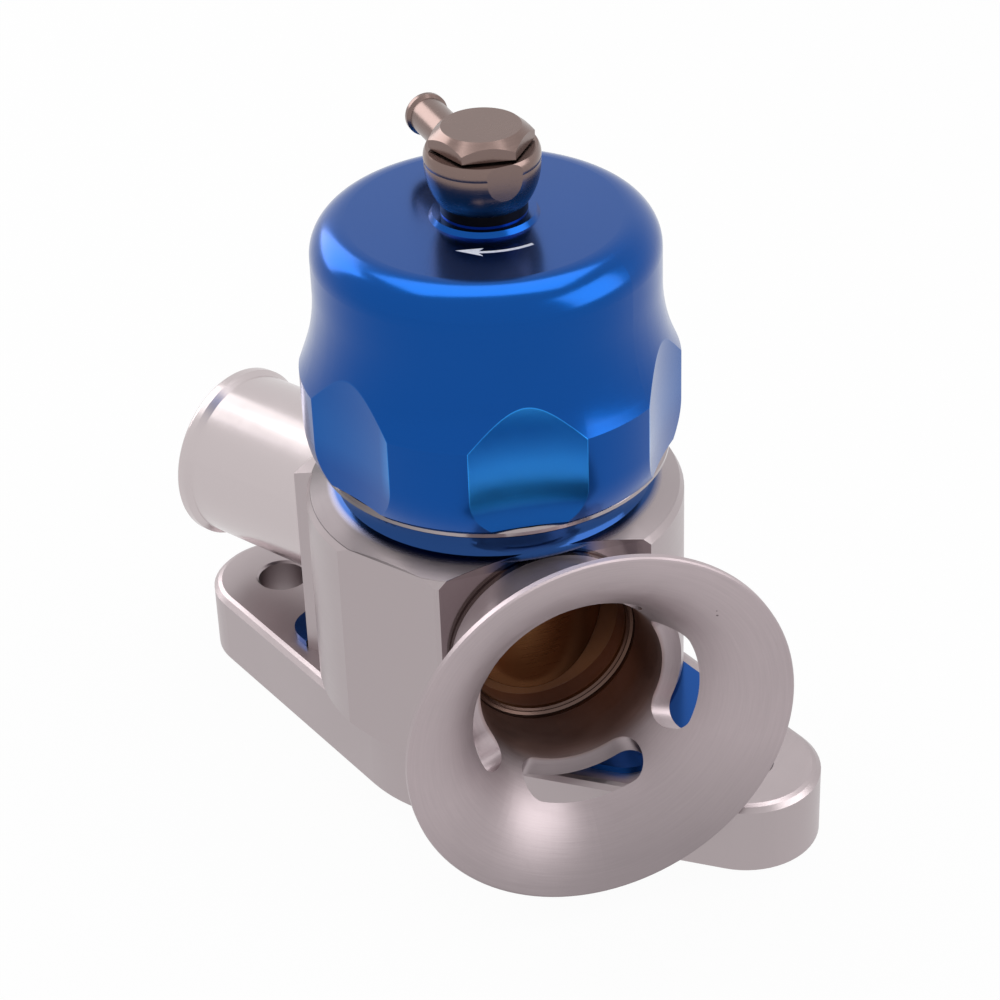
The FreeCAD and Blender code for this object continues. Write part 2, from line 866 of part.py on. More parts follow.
side_ring("spout_oring", spigot - 0.55, spout_azimuth, face - 1.3)

# Trumpet: a flared horn with four slots round its throat, screwed into the flat.
trumpet = new_body("trumpet")
flat = size("port_flat")
horn_spigot = size("port_thread") - gap
turned(
    trumpet,
    "trumpet_turning",
    [
        (size("horn_throat"), size("port_floor") + rest),
        (horn_spigot - 0.6, size("port_floor") + rest),
        (horn_spigot, size("port_floor") + 0.6),
        (horn_spigot, flat - 1.8),
        (horn_spigot - 1.1, flat - 1.8),
        (horn_spigot - 1.1, flat + rest),
        (size("horn_neck") - 0.3, flat + rest),
        (size("horn_neck"), flat + 0.3 + rest),
        (size("horn_neck"), size("horn_back_start"), size("horn_back_curve"), -1),
        (size("horn_lip_outer"), size("horn_lip_back")),
        (size("horn_lip_outer"), size("horn_lip") - 0.3),
        (size("horn_lip_outer") - 0.2, size("horn_lip")),
        (size("horn_lip_inner"), size("horn_lip"), size("horn_flare_curve"), 1),
        (size("horn_bore"), size("horn_flare_start")),
        (size("horn_bore"), flat + 0.3),
        (size("horn_bore") - 0.4, flat),
        (size("horn_throat") + 0.3, flat),
        (size("horn_throat"), flat - 0.3),
    ],
)
window = turned(
    trumpet,
    "window_sweep_cut",
    [
        (size("horn_bore") - 2, size("window_near")),
        (size("horn_lip_outer"), size("window_near")),
        (size("horn_lip_outer"), size("window_far")),
        (size("horn_bore") - 2, size("window_far")),
    ],
    cut=True,
    angle=size("window_sweep"),
)
window_cuts = [window]
window_half = (size("window_far") - size("window_near")) / 2
window_middle = (size("window_far") + size("window_near")) / 2
for side, end in ((-1, "first"), (1, "last")):
    end_sketch = new_sketch(
        trumpet,
        f"window_{end}_circle",
        "YZ_Plane",
        size("horn_bore") - 2,
        (V(0, side, 0), size("window_sweep") / 2),
    )
    circle(end_sketch, 0, window_middle, window_half)
    window_cuts.append(
        pocketed(trumpet, f"window_{end}_end", end_sketch, size("horn_lip_outer"), outward=True)
    )
patterned(trumpet, "windows", window_cuts, size("window_count"))
lay_out(trumpet, -size("port_azimuth"), port_height)
side_ring("trumpet_oring", horn_spigot - 0.55, -size("port_azimuth"), flat - 0.9)

# Base seal in the flange's underside.
base_middle = (size("base_groove_inner") + size("base_groove_outer")) / 2
wire_ring("base_oring", base_middle, 1.2, plain(1.25))

# Vacuum fitting: a ring with a hose nipple, clamped by a hollow hexagon bolt and two washers.
seal = size("seal_thickness")
head_washer = size("head_washer")
ring_low = step_top + seal + rest
ring_high = ring_low + size("fitting_height")
fitting_ring = new_body("banjo_ring")
groove_middle = (ring_low + ring_high) / 2
groove_half = size("fitting_groove_height") / 2
turn_bore = size("bolt_thread") + size("turn_gap")
turned(
    fitting_ring,
    "banjo_ring_turning",
    [
        (turn_bore, ring_low),
        (size("fitting_low_radius"), ring_low, size("fitting_curve"), 1),
        (size("fitting_mid_radius"), size("fitting_mid_height"), 3, 1),
        (size("fitting_high_radius"), ring_high),
        (turn_bore, ring_high),
        (turn_bore, groove_middle + groove_half),
        (size("fitting_groove_radius"), groove_middle + groove_half),
        (size("fitting_groove_radius"), groove_middle - groove_half),
        (turn_bore, groove_middle - groove_half),
    ],
)
nipple_aim = (V(0, 1, 0), size("nipple_azimuth"))
nipple_hole_sketch = new_sketch(
    fitting_ring, "nipple_hole_circle", "YZ_Plane", size("fitting_groove_radius") - 0.5, nipple_aim
)
circle(nipple_hole_sketch, 0, size("nipple_height"), size("nipple_radius") + rest)
pocketed(fitting_ring, "nipple_hole", nipple_hole_sketch, size("nipple_end"), outward=True)
plug_sketch = new_sketch(
    fitting_ring,
    "plug_flat_outline",
    "YZ_Plane",
    size("fitting_mid_radius") - size("plug_flat_depth"),
    (V(0, 1, 0), size("nipple_azimuth") + 180),
)
rectangle(plug_sketch, -6, ring_low - 1, 6, ring_high + 1)
pocketed(fitting_ring, "plug_flat", plug_sketch, size("nipple_end"), outward=True)

nipple = new_body("hose_nipple")
nipple_radius = size("nipple_radius")
nipple_bead = size("nipple_bead")
nipple_end = size("nipple_end")
turned(
    nipple,
    "nipple_turning",
    [
        (size("nipple_bore"), size("nipple_start")),
        (nipple_radius, size("nipple_start")),
        (nipple_radius, nipple_end - size("nipple_bead_length")),
        (nipple_bead, nipple_end - size("nipple_bead_length") + 0.5),
        (nipple_bead, nipple_end - 0.5, 0.5, 1),
        (nipple_bead - 0.5, nipple_end),
        (size("nipple_bore"), nipple_end),
    ],
)
lay_out(nipple, size("nipple_azimuth"), size("nipple_height"))

washers = []
for level_name, low, thickness in (
    ("lower", step_top, seal),
    ("upper", ring_high + rest, head_washer),
):
    made = document.addObject("Part::Cut", f"{level_name}_washer")
    outer = document.addObject("Part::Cylinder", f"{level_name}_washer_disc")
    inner = document.addObject("Part::Cylinder", f"{level_name}_washer_hole")
    bind(outer, "Radius", size("fitting_washer_radius"))
    bind(inner, "Radius", size("bolt_thread") + size("turn_gap") + 0.2)
    for piece in (outer, inner):
        bind(piece, "Height", thickness)
        bind(piece, "Placement.Base.z", low)
    made.Base = outer
    made.Tool = inner
    washers.append(made)
grouped("sealing_washers", washers)

banjo_bolt = new_body("banjo_bolt")
head_low = ring_high + rest + head_washer
head_top = head_low + size("head_height")
across = size("head_flats") / 2
hexagon = new_sketch(banjo_bolt, "hexagon_outline", "XY_Plane", head_low)
corners = []
for turn in range(6):
    angle = plain(60 * turn + 30) - size("head_azimuth")
    corner = across / plain(math.cos(math.pi / 6))
    corners.append((corner * cosine(angle), corner * sine(angle)))
outline(hexagon, corners)
padded(banjo_bolt, "hexagon_head", hexagon, size("head_height"))
turned(
    banjo_bolt,
    "head_crown",
    [
        (size("head_face_radius"), head_top + 0.5),
        (size("head_face_radius"), head_top),
        (size("head_flats"), head_top - (size("head_flats") - size("head_face_radius")) * size("head_crown_slope")),
        (size("head_flats"), head_top + 0.5),
    ],
    cut=True,
)
turned(
    banjo_bolt,
    "banjo_shank",
    [
        (0, size("bolt_low")),
        (size("bolt_thread") - 0.5, size("bolt_low")),
        (size("bolt_thread"), size("bolt_low") + 0.5),
        (size("bolt_thread"), head_low + 0.5),
        (0, head_low + 0.5),
    ],
)
turned(
    banjo_bolt,
    "banjo_passage",
    [
        (0, size("bolt_low") - 1),
        (size("bolt_passage"), size("bolt_low") - 1),
        (size("bolt_passage"), groove_middle + groove_half),
        (0, groove_middle + groove_half + 1),
    ],
    cut=True,
)
cross_sketch = new_sketch(banjo_bolt, "cross_hole_circle", "XZ_Plane")
circle(cross_sketch, 0, groove_middle, size("bolt_passage") * 0.8)
pocketed(banjo_bolt, "cross_hole", cross_sketch)

# Pair of thin pads in the corner between the body's foot and the flange.
pad_half = size("flange_middle_radius") - size("pad_inset")
foot_clear = body_radius - foot_bevel + 0.3
pad_start = size("spout_block_face") + 0.3 + block_half * sine(size("spout_lean"))
pads = []
for side, end in ((1, "right"), (-1, "left")):
    pad = new_body(f"foot_pad_{end}")
    pad_sketch = new_sketch(pad, f"pad_{end}_outline", "XY_Plane", thick + rest)
    tip = size("pad_reach")
    tip_y = (pad_half - tip * lean) / level
    back_x = pad_start if side < 0 else size("port_flat")
    back_y = (pad_half - back_x * lean) / level
    order = [(back_x, -back_y), (tip, -tip_y), (tip, tip_y), (back_x, back_y)]
    if side < 0:
        order = [(-x, y) for x, y in reversed(order)]
    outline(pad_sketch, order)
    made = padded(pad, f"pad_{end}", pad_sketch, size("pad_thickness"))
    upright = []
    for number, line in enumerate(made.Shape.Edges, start=1):
        box = line.BoundBox
        if box.ZLength > 0.5 and abs(box.XMin) > SIZES["pad_reach"] - 1:
            upright.append(f"Edge{number}")
    rounded = pad.newObject("PartDesign::Fillet", f"pad_{end}_corners")
    rounded.Base = (made, upright)
    bind(rounded, "Radius", size("pad_corner"))
    document.recompute()
    turned(
        pad,
        f"pad_{end}_clearance",
        [
            (0, thick - 1),
            (foot_clear, thick - 1),
            (foot_clear, thick + rest),
            (foot_clear + 1.4, thick + rest + 1.4),
            (foot_clear + 1.4, thick + 4),
            (0, thick + 4),
        ],
        cut=True,
    )
    pads.append(pad)
grouped("foot_pads", pads)

document.recompute()

NODES = [
    "valve_body",
    "cap",
    "retaining_ring",
    "cap_oring",
    "spring_seat",
    "guide_pins",
    "thrust_plate",
    "piston",
    "piston_orings",
    "seat_oring",
    "wear_band",
    "outer_spring",
    "inner_spring",
    "recirculation_spout",
    "spout_oring",
    "trumpet",
    "trumpet_oring",
    "base_oring",
    "banjo_ring",
    "hose_nipple",
    "sealing_washers",
    "banjo_bolt",
    "foot_pads",
]

for item in document.Objects:
    if "Invalid" in item.State or "Error" in item.State:
        raise RuntimeError(f"{item.Name} did not compute: {item.State}")

os.makedirs(OUT, exist_ok=True)
for node in NODES:
    found = [item for item in document.Objects if item.Label == node]
    shape = found[0].Shape
    if shape.isNull() or not shape.isValid() or not shape.Solids:
        raise RuntimeError(f"{node} has no valid solid")
    shape.exportStep(os.path.join(OUT, f"{node}.step"))
    print(node, len(shape.Solids), round(shape.Volume, 2))
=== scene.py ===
"""Blow off valve: an aluminium body on a two-bolt flange, with a blue turning cap,
a banjo vacuum fitting, a recirculation spout and a slotted trumpet."""
import math

import bpy
from mathutils import Euler, Matrix, Vector


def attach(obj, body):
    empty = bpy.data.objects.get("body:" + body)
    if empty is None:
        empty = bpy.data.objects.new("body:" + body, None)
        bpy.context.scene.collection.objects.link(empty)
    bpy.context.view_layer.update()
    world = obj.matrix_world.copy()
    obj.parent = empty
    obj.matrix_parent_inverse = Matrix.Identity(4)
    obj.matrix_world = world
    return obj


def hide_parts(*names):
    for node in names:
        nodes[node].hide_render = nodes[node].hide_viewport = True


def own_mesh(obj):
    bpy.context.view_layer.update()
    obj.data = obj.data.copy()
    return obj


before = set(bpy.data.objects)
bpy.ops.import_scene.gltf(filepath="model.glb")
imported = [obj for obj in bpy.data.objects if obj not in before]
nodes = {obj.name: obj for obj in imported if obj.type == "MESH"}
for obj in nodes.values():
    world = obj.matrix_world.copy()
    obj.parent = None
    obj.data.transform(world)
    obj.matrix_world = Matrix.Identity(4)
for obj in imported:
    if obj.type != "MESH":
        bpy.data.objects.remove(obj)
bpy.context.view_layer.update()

# Valve body: one billet of aluminium, turned on the valve's axis and then milled flat for the
# spout's block and the trumpet. Its walls keep fine tool marks that run round the axis. The neck
# that the cap turns on is polished, and its colour carries a painted reflection of the cap's
# blue.
# The shoulder, the trumpet's flat near the port and a thin line round the rim carry painted
# shade.
port_height = 0.034
trumpet_yaw = math.radians(-35.65)
trumpet_aim = (math.cos(trumpet_yaw), math.sin(trumpet_yaw), 0)
trumpet_flat_reach = 0.025
trumpet_flat_slack = 0.00006
shoulder_height = 0.0488
shoulder_painted_shade_side = (-0.797, -0.604, 0)
neck_foot_radius = 0.0270
neck_polished_radius = 0.0258
neck_rim_height = 0.0553
neck_seam_height = 0.0559
polished_roughness = 0.14


def linear(red, green, blue):
    return tuple((c / 255 / 12.92 if c <= 10 else ((c / 255 + 0.055) / 1.055) ** 2.4)
                 for c in (red, green, blue)) + (1.0,)


def node(tree, kind, settings=None, **inputs):
    made = tree.nodes.new(kind)
    for name, value in (settings or {}).items():
        setattr(made, name, value)
    for name, value in inputs.items():
        numbered = name[0] == "i" and name[1:].isdigit()
        socket = made.inputs[int(name[1:]) if numbered else name]
        if isinstance(value, bpy.types.NodeSocket):
            tree.links.new(value, socket)
        else:
            socket.default_value = value
    return made


def maths(tree, operation, first, second=0.0, third=0.0):
    return node(tree, "ShaderNodeMath", {"operation": operation},
                i0=first, i1=second, i2=third).outputs[0]


def vectors(tree, operation, first, second=(0, 0, 0), result="Value"):
    return node(tree, "ShaderNodeVectorMath", {"operation": operation},
                i0=first, i1=second).outputs[result]


def ramp(tree, value, *ends):
    made = node(tree, "ShaderNodeMapRange", Value=value)
    for socket, number in zip(("From Min", "From Max", "To Min", "To Max"), ends):
        made.inputs[socket].default_value = number
    return made.outputs[0]


def tinted(tree, amount, colour, tint):
    return node(tree, "ShaderNodeMix", {"data_type": "RGBA"},
                i0=amount, i6=colour, i7=tint).outputs[2]


def about_axis(tree, place):
    parts = node(tree, "ShaderNodeSeparateXYZ", Vector=place).outputs
    flat = node(tree, "ShaderNodeCombineXYZ", X=parts[0], Y=parts[1]).outputs[0]
    return parts, flat, vectors(tree, "LENGTH", flat)


def worked_metal(name, colour, roughness, marks_per_metre=5200, depth=4e-6, turn=(0, 0, 0),
                 centre=(0, 0, 0), stretch=3.0, tone=0.08, sheen_spread=0.08, coat=0.0,
                 zones=None, anisotropy=0.0, metal=1.0):
    material = bpy.data.materials.new(name)
    material.use_nodes = True
    tree = material.node_tree
    shader = tree.nodes["Principled BSDF"]
    for socket, value in (("Metallic", metal), ("Coat Weight", coat), ("Coat Roughness", 0.12),
                          ("Anisotropic", anisotropy), ("Anisotropic Rotation", 0.25)):
        shader.inputs[socket].default_value = value
    here = node(tree, "ShaderNodeTexCoord").outputs["Object"]
    place = node(tree, "ShaderNodeMapping", {"vector_type": "TEXTURE"},
                 Vector=here, Location=centre, Rotation=turn).outputs[0]

    parts, _, radius = about_axis(tree, place)
    angle = maths(tree, "ARCTAN2", parts[1], parts[0])
    ring = node(tree, "ShaderNodeCombineXYZ",
                X=maths(tree, "MULTIPLY", angle, stretch),
                Y=maths(tree, "MULTIPLY", radius, marks_per_metre),
                Z=maths(tree, "MULTIPLY", parts[2], marks_per_metre)).outputs[0]
    marks = node(tree, "ShaderNodeTexNoise",
                 Vector=ring, Scale=1.0, Detail=4.0, Roughness=0.6).outputs[0]
    clouds = node(tree, "ShaderNodeTexNoise", Vector=place, Scale=90.0, Detail=3.0).outputs[0]
    bump = node(tree, "ShaderNodeBump", Height=marks, Strength=1.0, Distance=depth)
    tree.links.new(bump.outputs[0], shader.inputs["Normal"])

    marked = ramp(tree, marks, 0.0, 1.0, roughness - sheen_spread, roughness + sheen_spread)
    level = maths(tree, "ADD", marked, ramp(tree, clouds, 0.3, 0.7, -0.03, 0.03))
    darker = tuple(c * (1 - tone) for c in colour[:3]) + (1.0,)
    lighter = tuple(min(1.0, c * (1 + tone)) for c in colour[:3]) + (1.0,)
    mottle = maths(tree, "ADD", maths(tree, "MULTIPLY", marks, 0.6),
                   maths(tree, "MULTIPLY", clouds, 0.4))
    base = tinted(tree, mottle, darker, lighter)
    if zones:
        shine, base = zones(tree, place, base)
        dull = maths(tree, "MULTIPLY", level, maths(tree, "SUBTRACT", 1.0, shine))
        level = maths(tree, "ADD", dull, maths(tree, "MULTIPLY", shine, polished_roughness))
    tree.links.new(level, shader.inputs["Roughness"])
    tree.links.new(base, shader.inputs["Base Color"])

    if anisotropy:
        axis = Euler(turn).to_matrix() @ Vector((0, 0, 1))
        outward = vectors(tree, "SUBTRACT", here, centre, "Vector")
        tree.links.new(vectors(tree, "CROSS_PRODUCT", axis, outward, "Vector"),
                       shader.inputs["Tangent"])
    return material


def dressed(piece, material):
    piece.data.materials.clear()
    piece.data.materials.append(material)


def body_zones(tree, place, colour):
    parts, _, radius = about_axis(tree, place)
    height = parts[2]
    above = maths(tree, "GREATER_THAN", height, shoulder_height)
    neck = maths(tree, "MULTIPLY", above,
                 ramp(tree, radius, neck_foot_radius, neck_polished_radius, 0.0, 1.0))
    rim = maths(tree, "GREATER_THAN", height, neck_rim_height)
    # Painted shade: a thin dark line painted round the rim's face.
    from_seam = maths(tree, "ABSOLUTE", maths(tree, "SUBTRACT", height, neck_seam_height))
    seam_shade = maths(tree, "MULTIPLY", rim, ramp(tree, from_seam, 0.00005, 0.00015, 0.8, 0.0))

    reach = vectors(tree, "DOT_PRODUCT", place, trumpet_aim)
    on_flat = maths(tree, "COMPARE", reach, trumpet_flat_reach, trumpet_flat_slack)
    port = tuple(trumpet_flat_reach * c for c in trumpet_aim[:2]) + (port_height,)
    # Painted shade on the trumpet's flat, a little darker near the port.
    shade = maths(tree, "MULTIPLY", on_flat,
                  ramp(tree, vectors(tree, "DISTANCE", place, port), 0.018, 0.028, 0.05, 0.0))

    # Painted shade: the shoulder round the neck is tinted darker towards one side.
    shoulder = maths(tree, "MULTIPLY", above, maths(tree, "SUBTRACT", 1.0, neck))
    painted_shade_sideways = ramp(tree, vectors(tree, "DOT_PRODUCT", place, shoulder_painted_shade_side),
                    0.008, 0.022, 0.15, 0.85)
    colour = tinted(tree, maths(tree, "MULTIPLY", shoulder, painted_shade_sideways), colour,
                    linear(84, 78, 80))
    # Painted reflection: the polished neck below the rim is tinted towards the cap's blue.
    below_rim = maths(tree, "SUBTRACT", 1.0, rim)
    colour = tinted(tree, maths(tree, "MULTIPLY", neck, below_rim), colour,
                    linear(36, 66, 118))
    colour = tinted(tree, maths(tree, "MAXIMUM", shade, seam_shade), colour, linear(48, 42, 44))
    return maths(tree, "MAXIMUM", maths(tree, "MAXIMUM", neck, rim), on_flat), colour


billet = worked_metal("billet_aluminium", linear(172, 161, 163), 0.36, marks_per_metre=4200,
                      depth=5e-6, tone=0.05, zones=body_zones, anisotropy=0.35)
dressed(nodes["valve_body"], billet)

# Cap and foot pads: turned and cut from aluminium, and anodised blue. The cap has six scallops
# for the fingers; the front one carries a painted reflection, a lighter blue on its cut face. It
# turns on the body's neck, and its thread moves the seat of the springs.
scallop_pitch = math.radians(60)
scallop_azimuth = math.radians(-42.5)
scallop_reach = 0.0878
scallop_curve = 0.060
scallop_slack = 0.00004


def front_scallop_painted_reflection(tree, place, colour):
    parts, flat, radius = about_axis(tree, place)
    height = parts[2]
    angle = maths(tree, "SUBTRACT", maths(tree, "ARCTAN2", parts[1], parts[0]), scallop_azimuth)
    sixth = maths(tree, "FLOORED_MODULO", maths(tree, "ADD", angle, scallop_pitch / 2),
                  scallop_pitch)
    folded = maths(tree, "SUBTRACT", sixth, scallop_pitch / 2)
    across = node(tree, "ShaderNodeCombineXYZ",
                  X=maths(tree, "MULTIPLY", radius, maths(tree, "COSINE", folded)),
                  Y=maths(tree, "MULTIPLY", radius, maths(tree, "SINE", folded))).outputs[0]
    from_cutter = vectors(tree, "DISTANCE", across, (scallop_reach, 0, 0))
    cut = maths(tree, "COMPARE", from_cutter, scallop_curve, scallop_slack)

    front = (math.cos(scallop_azimuth), math.sin(scallop_azimuth), 0)
    reflection_frontness = ramp(tree, vectors(tree, "DOT_PRODUCT", flat, front), 0.020, 0.027, 0.08, 1.0)
    lower_fade = ramp(tree, height, 0.0610, 0.0655, 0.05, 1.0)
    upper_fade = ramp(tree, height, 0.0690, 0.0745, 1.0, 0.6)
    amount = maths(tree, "MULTIPLY", maths(tree, "MULTIPLY", lower_fade, reflection_frontness), upper_fade)
    # Painted reflection: the front scallop's cut face is tinted a lighter blue, most in its
    # lower middle.
    return 0.0, tinted(tree, maths(tree, "MULTIPLY", cut, amount), colour,
                       linear(52, 166, 255))


anodised = worked_metal("blue_anodising", linear(5, 72, 148), 0.2, marks_per_metre=6500,
                        depth=1.2e-6, tone=0.04, sheen_spread=0.04, coat=0.15,
                        zones=front_scallop_painted_reflection)
dressed(nodes["cap"], anodised)
dressed(nodes["foot_pads"], anodised)

# Arrows printed on the cap's top: two bent arrows on opposite sides of the fitting, one for each
# way that the cap turns, in white ink a few hundredths of a millimetre thick.
cap_top = 0.0967
ink_low = cap_top + 0.00001
ink_high = cap_top + 0.00004
arrow_orbit = 0.0128
shaft_half_width = 0.0003
head_half_width = 0.00125
head_degrees = 19
head_overlap_degrees = 3
shaft_steps = 20


def arrow_outline(tail, tip):
    way = math.copysign(1.0, tip - tail)
    neck = tip - head_degrees * way
    run = neck + head_overlap_degrees * way - tail

    def at(radius, degrees):
        angle = math.radians(degrees)
        return (radius * math.cos(angle), radius * math.sin(angle))
    shaft = [tail + run * i / shaft_steps for i in range(shaft_steps + 1)]
    outer = [at(arrow_orbit + shaft_half_width, d) for d in shaft]
    inner = [at(arrow_orbit - shaft_half_width, d) for d in reversed(shaft)]
    head = [at(arrow_orbit + head_half_width, neck), at(arrow_orbit, tip),
            at(arrow_orbit - head_half_width, neck)]
    line = outer + head + inner
    return line if way > 0 else line[::-1]


def printed_arrows(*arcs):
    vertices, faces = [], []
    for tail, tip in arcs:
        line = arrow_outline(tail, tip)
        base, count = len(vertices), len(line)
        vertices += [(x, y, z) for z in (ink_low, ink_high) for x, y in line]
        faces.append([base + count + i for i in reversed(range(count))])
        faces.append([base + i for i in range(count)])
        for i in range(count):
            j = (i + 1) % count
            faces.append([base + j, base + i, base + count + i, base + count + j])
    mesh = bpy.data.meshes.new("printed_arrows")
    mesh.from_pydata(vertices, [], faces)
    mesh.update()
    piece = bpy.data.objects.new("printed_arrows", mesh)
    bpy.context.scene.collection.objects.link(piece)
    return piece


ink = bpy.data.materials.new("white_ink")
ink.use_nodes = True
ink_tree = ink.node_tree
ink_shader = ink_tree.nodes["Principled BSDF"]
ink_shader.inputs["Roughness"].default_value = 0.6
speckle = node(ink_tree, "ShaderNodeTexNoise", Scale=2600.0, Detail=2.0,
               Vector=node(ink_tree, "ShaderNodeTexCoord").outputs["Object"]).outputs[0]
ink_tree.links.new(tinted(ink_tree, speckle, linear(170, 178, 200), linear(226, 228, 236)),
                   ink_shader.inputs["Base Color"])
arrows = printed_arrows((-19.5, -73.5), (110, 166))
arrows.data.materials.append(ink)
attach(arrows, "cap")

# Spring seat, thrust plate and guide pins: the plain aluminium nut inside the cap's ceiling,
# its hardened plate and the two steel pins that keep it from turning.
seat_metal = worked_metal("turned_plain_aluminium", linear(200, 200, 203), 0.38)
dressed(nodes["spring_seat"], seat_metal)
ground_steel = worked_metal("ground_steel", linear(168, 168, 172), 0.25,
                            marks_per_metre=9000, depth=1.5e-6)
dressed(nodes["thrust_plate"], ground_steel)
dressed(nodes["guide_pins"], ground_steel)

# Piston: turned from bronze, and it slides in the body's bore under the springs. It is seen
# down the trumpet's throat, where it closes the port.
bronze = worked_metal("turned_bronze", linear(128, 88, 56), 0.30, marks_per_metre=3600,
                      depth=4e-6, tone=0.12)
dressed(nodes["piston"], bronze)

# Springs and retaining ring: drawn steel wire. The ring holds the cap on the neck. Both springs
# are wound with closed ends that are ground flat, each made in two parts, lower and upper, that
# meet at spring_split.
spring_low = 0.04198
spring_high = 0.08398
spring_split = 0.06998
piston_stroke = 0.012
seat_stroke = 0.006
end_turns = 2.0
closed_pitch = 2.06
tip_ground_off = 0.5
wire_sides = 12
steps_along = 240
wire_steel = worked_metal("drawn_wire", linear(176, 176, 180), 0.24,
                          marks_per_metre=3000, depth=2e-6)
dressed(nodes["retaining_ring"], wire_steel)


def winding():
    group = bpy.data.node_groups.new("spring_winding", "GeometryNodeTree")
    face = group.interface
    for name in ("Orbit", "Wire", "Coils", "Low", "High", "Start", "End"):
        face.new_socket(name=name, in_out="INPUT", socket_type="NodeSocketFloat")
    face.new_socket(name="Material", in_out="INPUT", socket_type="NodeSocketMaterial")
    face.new_socket(name="Geometry", in_out="OUTPUT", socket_type="NodeSocketGeometry")
    given = node(group, "NodeGroupInput").outputs

    def plus(first, second):
        return maths(group, "ADD", first, second)

    def minus(first, second):
        return maths(group, "SUBTRACT", first, second)

    def times(first, second):
        return maths(group, "MULTIPLY", first, second)

    line = node(group, "GeometryNodeCurvePrimitiveLine").outputs[0]
    line = node(group, "GeometryNodeResampleCurve", Curve=line, Count=steps_along).outputs[0]
    factor = node(group, "GeometryNodeSplineParameter").outputs["Factor"]
    along = node(group, "ShaderNodeMapRange", Value=factor)
    group.links.new(given["Start"], along.inputs["To Min"])
    group.links.new(given["End"], along.inputs["To Max"])
    turns = plus(given["Coils"], end_turns)
    turn = times(along.outputs[0], turns)

    closed = times(given["Wire"], closed_pitch)
    tip = times(given["Wire"], tip_ground_off)
    first = plus(minus(given["Low"], tip), closed)
    last = minus(plus(given["High"], tip), closed)
    entry = maths(group, "MINIMUM", turn, 1.0)
    leaving = maths(group, "MAXIMUM", minus(turn, minus(turns, 1.0)), 0.0)
    open_turn = minus(minus(turn, entry), leaving)
    pitch = maths(group, "DIVIDE", minus(last, first), given["Coils"])
    rise = times(closed, plus(minus(entry, 1.0), leaving))
    height = plus(plus(first, rise), times(open_turn, pitch))
    angle = times(turn, 2 * math.pi)
    place = node(group, "ShaderNodeCombineXYZ",
                 X=times(maths(group, "COSINE", angle), given["Orbit"]),
                 Y=times(maths(group, "SINE", angle), given["Orbit"]), Z=height).outputs[0]
    coil = node(group, "GeometryNodeSetPosition", Geometry=line, Position=place).outputs[0]
    section = node(group, "GeometryNodeCurvePrimitiveCircle",
                   Resolution=wire_sides, Radius=given["Wire"]).outputs[0]
    coil = node(group, "GeometryNodeCurveToMesh", Curve=coil, i1=section)
    coil.inputs["Fill Caps"].default_value = True

    here = node(group, "GeometryNodeInputPosition").outputs[0]
    here = node(group, "ShaderNodeSeparateXYZ", Vector=here).outputs
    ground_height = maths(group, "MINIMUM", maths(group, "MAXIMUM", here[2], given["Low"]),
                          given["High"])
    ends = node(group, "ShaderNodeCombineXYZ", X=here[0], Y=here[1], Z=ground_height).outputs[0]
    ends = node(group, "GeometryNodeSetPosition",
                Geometry=coil.outputs[0], Position=ends).outputs[0]
    whole = node(group, "GeometryNodeRealizeInstances", Geometry=ends).outputs[0]
    smooth = node(group, "GeometryNodeSetShadeSmooth", Geometry=whole).outputs[0]
    clad = node(group, "GeometryNodeSetMaterial",
                Geometry=smooth, Material=given["Material"]).outputs[0]
    node(group, "NodeGroupOutput", Geometry=clad)
    return group


def wound(name, group, **values):
    piece = bpy.data.objects.new(name, bpy.data.meshes.new(name))
    bpy.context.scene.collection.objects.link(piece)
    winder = piece.modifiers.new("winding", "NODES")
    winder.node_group = group
    for socket in group.interface.items_tree:
        if socket.name in values:
            winder[socket.identifier] = values[socket.name]
    finished = piece.evaluated_get(bpy.context.evaluated_depsgraph_get())
    shape = bpy.data.meshes.new_from_object(finished)
    piece.modifiers.clear()
    piece.data = shape
    return piece


spring_group = winding()
for name, orbit, wire, coils in (("outer_spring", 0.0129, 0.00125, 5.5),
                                 ("inner_spring", 0.008, 0.00085, 6.5)):
    first = spring_low + wire * (closed_pitch - tip_ground_off)
    last = spring_high - wire * (closed_pitch - tip_ground_off)
    share = (1 + coils * (spring_split - first) / (last - first)) / (coils + end_turns)
    for part, start, end, joint, stroke, far in (
            ("lower", 0.0, share, "piston_lift", piston_stroke, spring_low),
            ("upper", share, 1.0, "seat_travel", seat_stroke, spring_high)):
        coil = wound(f"{part}_{name}", spring_group, Orbit=orbit, Wire=wire, Coils=coils,
                     Low=spring_low, High=spring_high, Start=start, End=end,
                     Material=wire_steel)
        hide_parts(name)
        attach(coil, "housing")
        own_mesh(coil)

# Seals: moulded rings of black nitrile rubber, slightly greasy, in turned grooves of the neck,
# the piston, the two screwed ports and the flange's underside.
rubber = worked_metal("nitrile_rubber", linear(26, 26, 27), 0.5, marks_per_metre=1200,
                      depth=6e-6, metal=0.0)
for name in ("cap_oring", "piston_orings", "seat_oring", "spout_oring", "trumpet_oring",
             "base_oring"):
    dressed(nodes[name], rubber)

# Wear band: a turned ring of filled plastic in a groove round the piston, which keeps the
# bronze off the bore.
wear_plastic = worked_metal("filled_plastic", linear(196, 190, 176), 0.55,
                            marks_per_metre=1600, metal=0.0)
dressed(nodes["wear_band"], wear_plastic)

# Recirculation spout: aluminium tube with a rolled bead, turned bright along its own axis and
# screwed into the body's side port.
spout_yaw = math.radians(-2.16)
spout_metal = worked_metal("turned_spout", linear(196, 186, 187), 0.22, marks_per_metre=5200,
                           depth=1.2e-6, stretch=0.8, sheen_spread=0.05, tone=0.03,
                           turn=(0, math.radians(90), spout_yaw), centre=(0, 0, port_height),
                           anisotropy=0.3)
dressed(nodes["recirculation_spout"], spout_metal)

